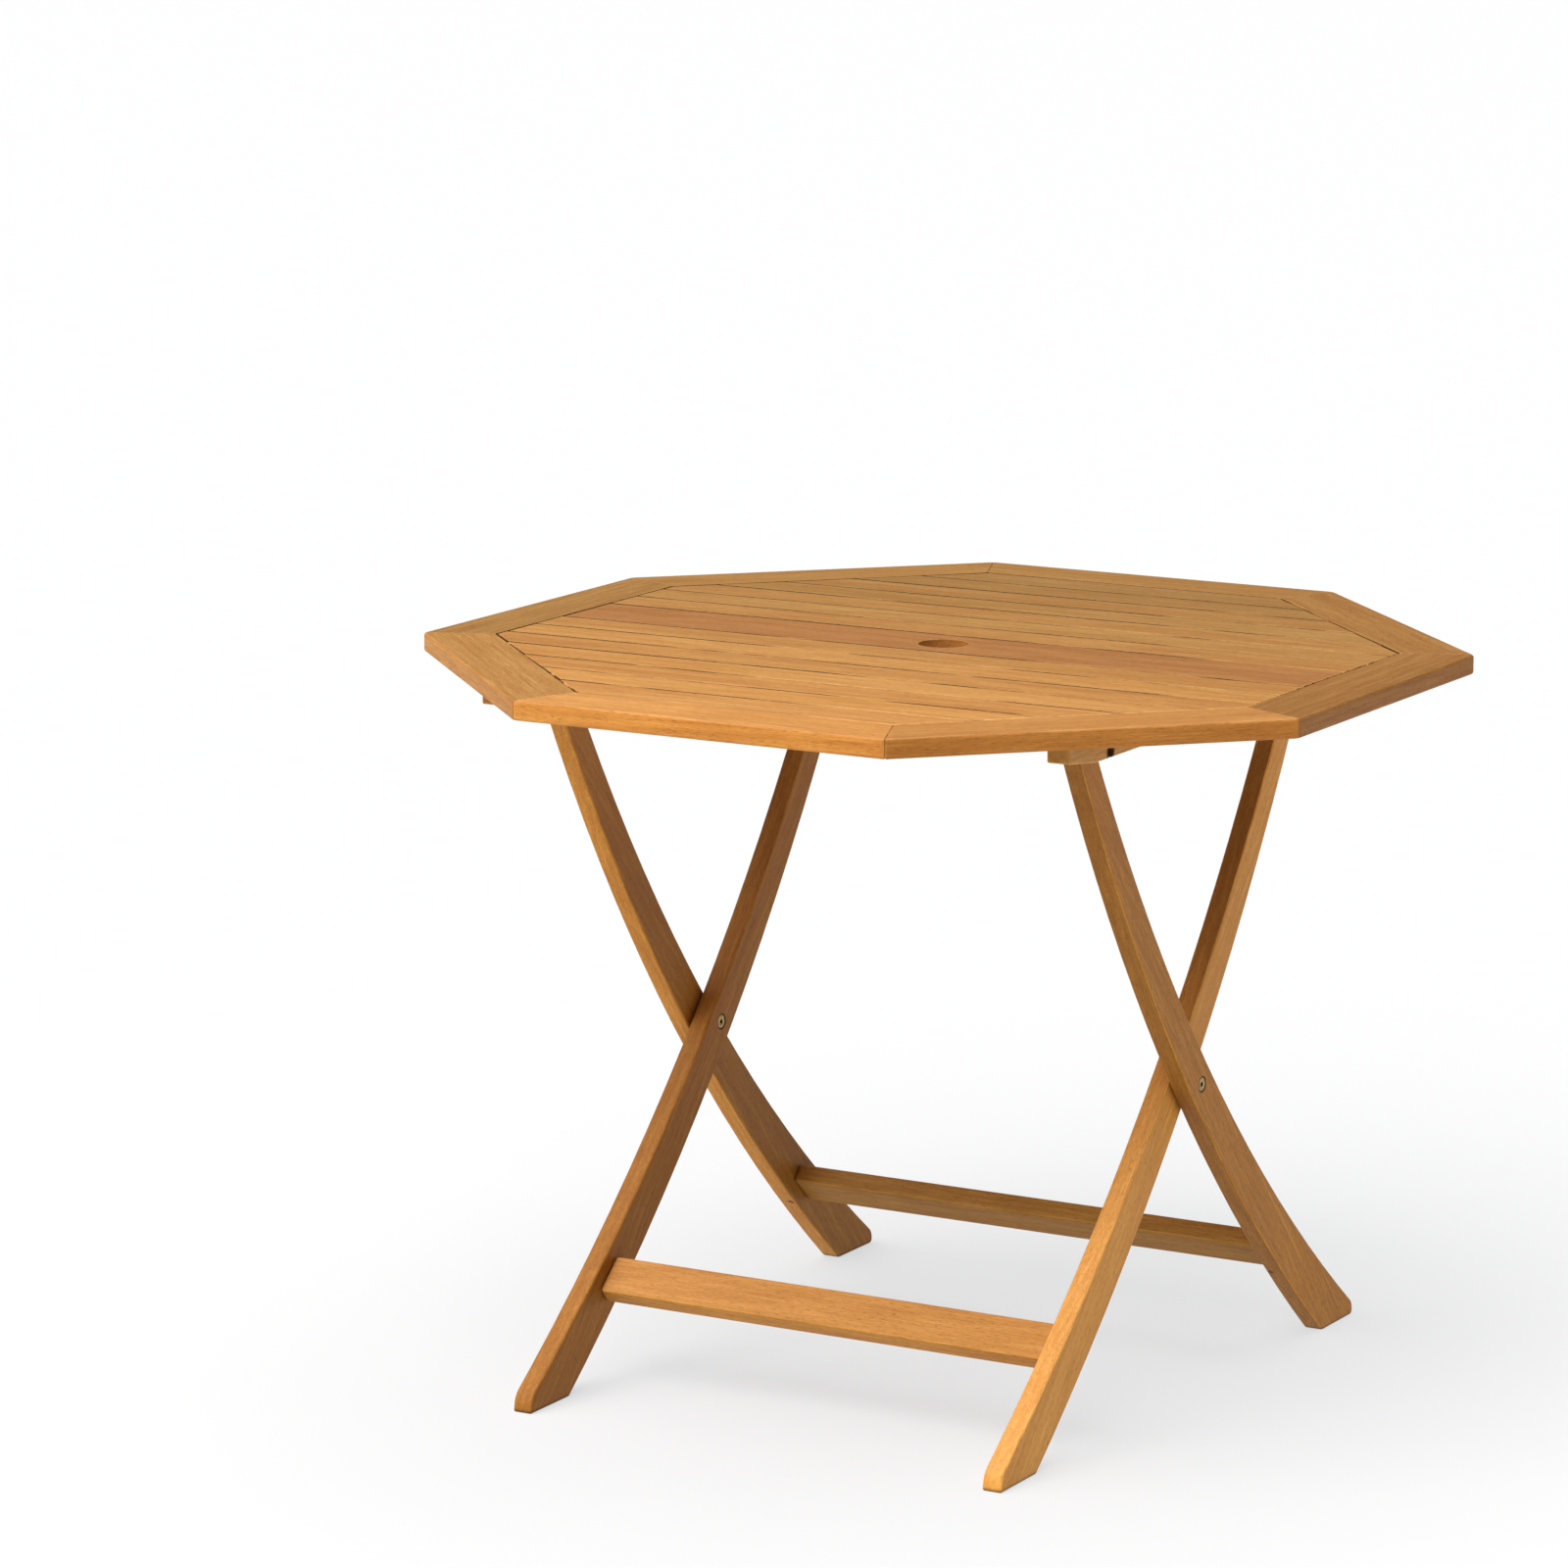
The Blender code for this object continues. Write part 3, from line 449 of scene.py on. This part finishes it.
# Rounds the outward edges that are sharper than the limit in degrees, and marks the new faces, which are
# painted paler, partly as wear and partly as a painted highlight.
# Mouths of bores, mortises and grooves stay as they are.
def easeArrises(piece, width, sharp):
    selectOnly(piece)
    piece.data.materials.append(None)
    bpy.ops.object.mode_set(mode="EDIT")
    bpy.ops.mesh.select_mode(type="EDGE")
    bpy.ops.mesh.select_all(action="DESELECT")
    bm = bmesh.from_edit_mesh(piece.data)
    hollow = math.radians(shaping["hollow"])
    recessed = {face for edge in bm.edges if not edge.is_convex and edge.calc_face_angle(0) > hollow
                for face in edge.link_faces}
    for edge in bm.edges:
        if edge.is_convex and edge.calc_length() > 2 * width and recessed.isdisjoint(edge.link_faces):
            edge.select_set(edge.calc_face_angle(0) > math.radians(sharp))
    bmesh.update_edit_mesh(piece.data)
    bpy.ops.mesh.bevel(offset=width, segments=shaping["steps"], affect="EDGES", clamp_overlap=False,
                       material=len(piece.data.materials) - 1)
    bpy.ops.mesh.select_all(action="SELECT")
    bpy.ops.mesh.remove_doubles(threshold=shaping["merge"])
    bm = bmesh.from_edit_mesh(piece.data)
    wornAndGlinting = bm.loops.layers.float.new("wornAndGlinting")
    for face in bm.faces:
        for loop in face.loops:
            loop[wornAndGlinting] = 1.0 if face.material_index else 0.0
        face.material_index = 0
    bmesh.update_edit_mesh(piece.data)
    bpy.ops.object.mode_set(mode="OBJECT")


def smooth(piece, angle):
    selectOnly(piece)
    bpy.ops.object.shade_smooth_by_angle(angle=math.radians(angle))
    even = piece.modifiers.new("even shading", "WEIGHTED_NORMAL")
    even.keep_sharp = True
    even.weight = shaping["evenness"]
    bpy.ops.object.modifier_apply(modifier=even.name)


# Marks the faces that a test picks by their centre and normal, such as those that line a seam.
def markFaces(piece, layer, picks):
    marks = piece.data.attributes.new(layer, "FLOAT", "CORNER")
    for polygon in piece.data.polygons:
        amount = 1.0 if picks(polygon.center, polygon.normal) else 0.0
        for loop in polygon.loop_indices:
            marks.data[loop].value = amount


def standIn(piece, name, finish):
    piece.data.materials.clear()
    piece.data.materials.append(finish)
    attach(piece, bodyOf[name])
    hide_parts(name)


board = {
    "arris": 0.0007,
    "sharp": 40,                 # degrees
    "level": 0.8,                # least upward part of the normal of a face that lies level
    "inward": 0.5,               # least inward part of the normal of a face along the slats
    "mitred": 0.8,               # least sideways part of the normal of a mitre
    "turn": {"front": 0, "rear": 0, "left": 90, "right": 90, "front_right": 45, "rear_left": 45,
             "rear_right": -45, "front_left": -45},
    # the tones hold painted light: lighter at the front, darker at the rear and the sides
    "tone": {"front": 1.33, "rear": 0.80, "left": 0.78, "right": 0.70, "front_right": 1.10,
             "rear_left": 0.82, "rear_right": 0.76, "front_left": 1.00},
    "redness": {"front": 0.04, "rear": -0.04, "left": -0.04, "right": 0.03, "front_right": 0.05,
                "rear_left": -0.04, "rear_right": 0.01, "front_left": -0.03},
    "facing": {"front": -90, "rear": 90, "left": 180, "right": 0, "front_right": -45,
               "rear_left": 135, "rear_right": 45, "front_left": -135},
}


def makeBoards():
    for side, turn in board["turn"].items():
        name = "frame_" + side
        angle = math.radians(board["facing"][side])
        outward = Vector((math.cos(angle), math.sin(angle), 0))

        def meetsAnother(centre, normal):
            inward = normal.dot(outward) < -board["inward"]
            mitred = abs(normal.cross(outward).z) > board["mitred"]
            return abs(normal.z) < board["level"] and (inward or mitred)

        piece = copyOf(name, "board")
        easeArrises(piece, board["arris"], board["sharp"])
        # marks the faces that line the seams, which get painted shade
        markFaces(piece, "seamShade", meetsAnother)
        smooth(piece, shaping["smooth"])
        finish = oiledWood(name, "honey", (0, 0, math.radians(turn)), board["tone"][side],
                           board["redness"][side], onTop=True)
        standIn(piece, name, finish)


makeBoards()
print("frame boards made")

slat = {
    "arris": 0.0007,
    "sharp": 30,                 # degrees
    "endPlay": 0.0017,           # most that an end stands nearer to the frame than the shortest slat's
    "endLength": 0.085,          # an end's points lie within this of it, also where it is cut slanting
    "drop": 0.0003,              # most that a slat lies below its neighbours
    "play": 0.0009,              # taken off each long side, for a seam that shows
    "onFace": 0.0005,            # points this near to the top's height are the upper face's
    "near": 0.002,               # points this near to it, or to a long side, move with them
    "tongueDepth": 0.010,        # from the top to the middle of the tongue, which keeps its place
    "tongueHalf": 0.004,
    "level": 0.96,               # least upward part of the normal of a face that gets no painted seam shade
    "hole": 0.03,                # no painted seam shade this near to the middle, where the parasol hole is
    "woods": {"centre": ("russet", "centre_slat_wood"), "odd": ("amber", "amber_slat_wood"),
              "even": ("honey", "honey_slat_wood")},
    "chance": 7,
    # tone and redness of each slat; the tones differ by slat and also hold painted light, lighter to the
    # front and darker to the rear
    "look": {"centre": (0.99, 0.03), "front_1": (1.06, 0.0), "front_2": (1.12, -0.02),
             "front_3": (1.10, 0.02), "front_4": (1.17, -0.01), "front_5": (1.19, 0.03),
             "front_6": (1.26, 0.0), "front_7": (1.29, 0.02), "rear_1": (0.97, 0.0),
             "rear_2": (0.90, -0.06), "rear_3": (0.95, -0.03), "rear_4": (0.83, -0.08),
             "rear_5": (0.86, -0.03), "rear_6": (0.75, -0.08), "rear_7": (0.76, -0.08)},
}


# Lets a slat's ends stand a little unevenly, lowers its face, and narrows it beside its neighbours.
def settle(piece, luck):
    near = slat["near"]
    topZ = cadBox[1][2]
    points = [vertex.co.copy() for vertex in piece.data.vertices]
    ends = {side: max(side * point.x for point in points if point.z > topZ - slat["onFace"])
            for side in (-1, 1)}
    low = min(point.y for point in points if point.z > topZ - near)
    high = max(point.y for point in points if point.z > topZ - near)
    play = {side: luck.uniform(0, slat["endPlay"]) for side in ends}
    sink = {side: luck.uniform(0, slat["drop"]) for side in ends}
    for vertex in piece.data.vertices:
        side = 1 if vertex.co.x > 0 else -1
        if abs(vertex.co.z - topZ + slat["tongueDepth"]) > slat["tongueHalf"]:
            if vertex.co.y > high - near:
                vertex.co.y -= slat["play"]
            elif vertex.co.y < low + near:
                vertex.co.y += slat["play"]
        if vertex.co.z > topZ - near:
            share = (vertex.co.x + ends[-1]) / (ends[1] + ends[-1])
            vertex.co.z -= sink[-1] + (sink[1] - sink[-1]) * share
            if side * vertex.co.x > ends[side] - slat["endLength"]:
                vertex.co.x += side * play[side]


def linesSeam(centre, normal):
    return abs(normal.z) <= slat["level"] and centre.xy.length >= slat["hole"]


def makeSlats():
    luck = random.Random(slat["chance"])
    for place, (tone, redness) in slat["look"].items():
        name = "slat_" + place
        piece = copyOf(name, "board")
        settle(piece, luck)
        easeArrises(piece, slat["arris"], slat["sharp"])
        # marks the faces that line the seams, which get painted shade
        markFaces(piece, "seamShade", linesSeam)
        smooth(piece, shaping["smooth"])
        if place == "centre":
            kind, slot = slat["woods"]["centre"]
        else:
            kind, slot = slat["woods"]["odd" if int(place[-1]) % 2 else "even"]
        standIn(piece, name, oiledWood(name, kind, tone=tone, redness=redness, onTop=True))


makeSlats()
print("slats made")

legs = {
    "arris": 0.0008,
    "fineArris": 0.0006,         # of the bearers and catches
    "sharp": 28,                 # degrees
    "narrow": 0.5,               # most sideways part of the normal of a narrow face
    "lean": {"inner": 40.9, "outer": -40.1},   # degrees from the vertical, towards the rear
    "look": {                    # wood, tone, redness, tone of the narrow faces low and high up, which is painted light and shade
        "inner_leg_left": ("leg", 0.83, 0.03, (1.15, 0.85)),
        "inner_leg_right": ("tan", 1.09, -0.03, (1.19, 0.52)),
        "outer_leg_left": ("leg", 0.86, -0.01, (1.60, 1.60)),
        "outer_leg_right": ("leg", 1.05, 0.0, (0.80, 0.80)),
        "inner_lower_rail": ("tan", 0.94, 0.0, (1, 1)),
        "outer_lower_rail": ("leg", 0.85, -0.09, (1, 1)),
        "inner_top_rail": ("leg", 0.90, 0.0, (1, 1)),
        "bearer_left": ("leg", 1.1, 0.0, (1, 1)),
        "bearer_right": ("tan", 0.79, -0.12, (1, 1)),
        "catch_left": ("leg", 0.9, 0.0, (1, 1)),
        "catch_right": ("leg", 0.9, 0.0, (1, 1)),
    },
    "pinTone": 0.45,
    "pivot": (-0.0095, 0.3285),  # places in Y and Z of the bolts
    "hinge": (-0.2708, 0.7130),
}


# The turn that lays the grain along a leg, or across it for a pin.
def legTurn(name, across=0):
    lean = legs["lean"][name.split("_")[0]]
    return (0, math.radians(lean - 90 + across), math.radians(90))


def isNarrow(centre, normal):
    return abs(normal.x) < legs["narrow"]


def makeLegsAndRails():
    for name in nodes:
        if name.startswith(("inner_leg", "outer_leg")):
            turn, arris = legTurn(name), legs["arris"]
        elif name.endswith("_rail"):
            turn, arris = (0, 0, 0), legs["arris"]
        elif name in ("bearer_left", "bearer_right"):
            turn, arris = (0, 0, math.radians(90)), legs["fineArris"]
        elif name in ("catch_left", "catch_right"):
            turn, arris = (0, 0, 0), legs["fineArris"]
        else:
            continue
        piece = copyOf(name, "shaped")
        easeArrises(piece, arris, legs["sharp"])
        smooth(piece, shaping["smooth"])
        stainedShadedBores = []
        if name.startswith(("inner_leg", "outer_leg")):
            stainedShadedBores.append(legs["pivot"])
        if name.startswith(("bearer", "outer_leg")):
            stainedShadedBores.append(legs["hinge"])
        kind, tone, redness, edge = legs["look"][name]
        markFaces(piece, "narrow", isNarrow)
        finish = oiledWood(name, kind, turn, tone, redness, edge=edge, stainedShadedBores=stainedShadedBores)
        standIn(piece, name, finish)


makeLegsAndRails()
print("legs, rails, bearers and catches made")


# Fasteners: turned afresh from their CAD solids' own sizes, with round heads and clean sockets

fastener = {
    "sides": 64,
    "merge": 0.000005,
    "chamfer": 0.0005,
    "socketReach": 0.0030,       # points of a solid nearer to its axis than this belong to its socket
    "headStep": 0.0005,          # least that a head's radius exceeds its shank's
    "socketAcross": 0.0050,
    "socketDepth": 0.0020,
    "crossLength": 0.0046,
    "crossWidth": 0.0010,
    "crossDepth": 0.0015,
    "surface": 0.00001,          # how far inside a face's centre must lie to be in a recess
    "slack": 0.0001,
    "tip": (0.003, 0.0003),      # length of a screw's point, and the radius of its end
}


# A piece spun round X from a profile of places along it and radii, then laid at its start along an axis.
def lathe(name, profile, start, turn):
    mesh = bpy.data.meshes.new(name)
    ends = [(i, i + 1) for i in range(len(profile) - 1)]
    mesh.from_pydata([(along, radius, 0) for along, radius in profile], ends, [])
    piece = bpy.data.objects.new(name, mesh)
    bpy.context.collection.objects.link(piece)
    selectOnly(piece)
    spin = piece.modifiers.new("spin", "SCREW")
    spin.axis = "X"
    spin.steps = spin.render_steps = fastener["sides"]
    spin.use_merge_vertices = True
    spin.merge_threshold = fastener["merge"]
    bpy.ops.object.modifier_apply(modifier=spin.name)
    piece.rotation_euler = turn
    piece.location = start
    bpy.ops.object.transform_apply(location=True, rotation=True, scale=True)
    bpy.ops.object.mode_set(mode="EDIT")
    bpy.ops.mesh.select_all(action="SELECT")
    bpy.ops.mesh.normals_make_consistent(inside=False)
    bpy.ops.object.mode_set(mode="OBJECT")
    return piece


# Cuts a recess into a head, and marks its walls and floor as deep.
def recess(piece, cutters, start, direction, depth):
    for cutter in cutters:
        selectOnly(piece)
        cut = piece.modifiers.new("recess", "BOOLEAN")
        cut.operation = "DIFFERENCE"
        cut.solver = "EXACT"
        cut.object = cutter
        bpy.ops.object.modifier_apply(modifier=cut.name)
        bpy.data.objects.remove(cutter)
    slack = fastener["slack"]

    def isDeep(centre, normal):
        offset = centre - start
        along = offset.dot(direction)
        away = (offset - along * direction).length
        return fastener["surface"] < along < depth + slack and away < fastener["crossLength"] / 2 + slack

    markFaces(piece, "deep", isDeep)


# The outline of a bolt or a sleeve nut, from the middle of its head's face along its axis.
def headedProfile(radii, height, length, isNut):
    chamfer = fastener["chamfer"]
    widest = radii[-1]
    shank = max(radius for radius in radii if radius < widest - fastener["headStep"])
    profile = [(0, 0), (0, widest - chamfer), (chamfer, widest), (height, widest), (height, shank)]
    if isNut:
        bore = radii[0]
        return profile + [(length, shank), (length, bore), (height, bore), (height, 0)]
    return profile + [(length - chamfer, shank), (length, shank - chamfer), (length, 0)]


def makeBoltsAndNuts():
    for name in nodes:
        if not name.startswith(("pivot_", "hinge_")):
            continue
        low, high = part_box(name)
        middle = (Vector(low) + Vector(high)) / 2
        corners = sorted({(round(v.co.x, 5), round((v.co.yz - middle.yz).length, 5))
                          for v in nodes[name].data.vertices})
        corners = [corner for corner in corners if corner[1] > fastener["socketReach"]]
        radii = sorted({radius for x, radius in corners})
        faces = [x for x, radius in corners if radius == radii[-1]]
        height = faces[-1] - faces[0]
        if "washer" in name:
            profile = [(0, radii[0]), (0, radii[-1]), (height, radii[-1]), (height, radii[0]), (0, radii[0])]
            piece = lathe(name + "_turned", profile, (faces[0], middle.y, middle.z), (0, 0, 0))
        else:
            direction = 1 if abs(faces[0] - low[0]) < fastener["slack"] else -1
            start = Vector((faces[0] if direction > 0 else faces[-1], middle.y, middle.z))
            profile = headedProfile(radii, height, high[0] - low[0], "nut" in name)
            turn = (0, 0, 0) if direction > 0 else (0, 0, math.pi)
            piece = lathe(name + "_turned", profile, start, turn)
            bpy.ops.object.select_all(action="DESELECT")
            bpy.ops.mesh.primitive_cylinder_add(
                vertices=6, radius=fastener["socketAcross"] / 2 / math.cos(math.pi / 6),
                depth=2 * fastener["socketDepth"], location=start, rotation=(0, math.pi / 2, 0))
            recess(piece, [bpy.context.object], start, Vector((direction, 0, 0)), fastener["socketDepth"])
        smooth(piece, shaping["smoothTurned"])
        standIn(piece, name, brass)


def makeScrews():
    for name in nodes:
        if "screw" not in name:
            continue
        low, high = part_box(name)
        middle = (Vector(low) + Vector(high)) / 2
        corners = sorted({(round(v.co.z, 5), round((v.co.xy - middle.xy).length, 5))
                          for v in nodes[name].data.vertices})
        headRadius = corners[0][1]
        shank = corners[1][1]
        headHeight = corners[1][0] - corners[0][0]
        length = high[2] - low[2]
        tipLength, tipRadius = fastener["tip"]
        profile = [(0, 0), (0, headRadius), (headHeight, shank), (length - tipLength, shank),
                   (length, tipRadius), (length, 0)]
        start = Vector((middle.x, middle.y, low[2]))
        piece = lathe(name + "_turned", profile, start, (0, -math.pi / 2, 0))
        cutters = []
        for size in ((fastener["crossLength"], fastener["crossWidth"]),
                     (fastener["crossWidth"], fastener["crossLength"])):
            bpy.ops.object.select_all(action="DESELECT")
            bpy.ops.mesh.primitive_cube_add(size=1, location=start)
            cutter = bpy.context.object
            cutter.scale = (*size, 2 * fastener["crossDepth"])
            bpy.ops.object.transform_apply(location=False, rotation=False, scale=True)
            cutters.append(cutter)
        recess(piece, cutters, start, Vector((0, 0, 1)), fastener["crossDepth"])
        smooth(piece, shaping["smoothTurned"])
        standIn(piece, name, zinc)


makeBoltsAndNuts()
makeScrews()
print("bolts, nuts, washers and screws turned")

for name in nodes:
    if "pin" in name:
        piece = copyOf(name, "shaped")
        smooth(piece, shaping["smoothTurned"])
        standIn(piece, name, oiledWood(name, "leg", legTurn(name, 90), legs["pinTone"]))
print("pins made")
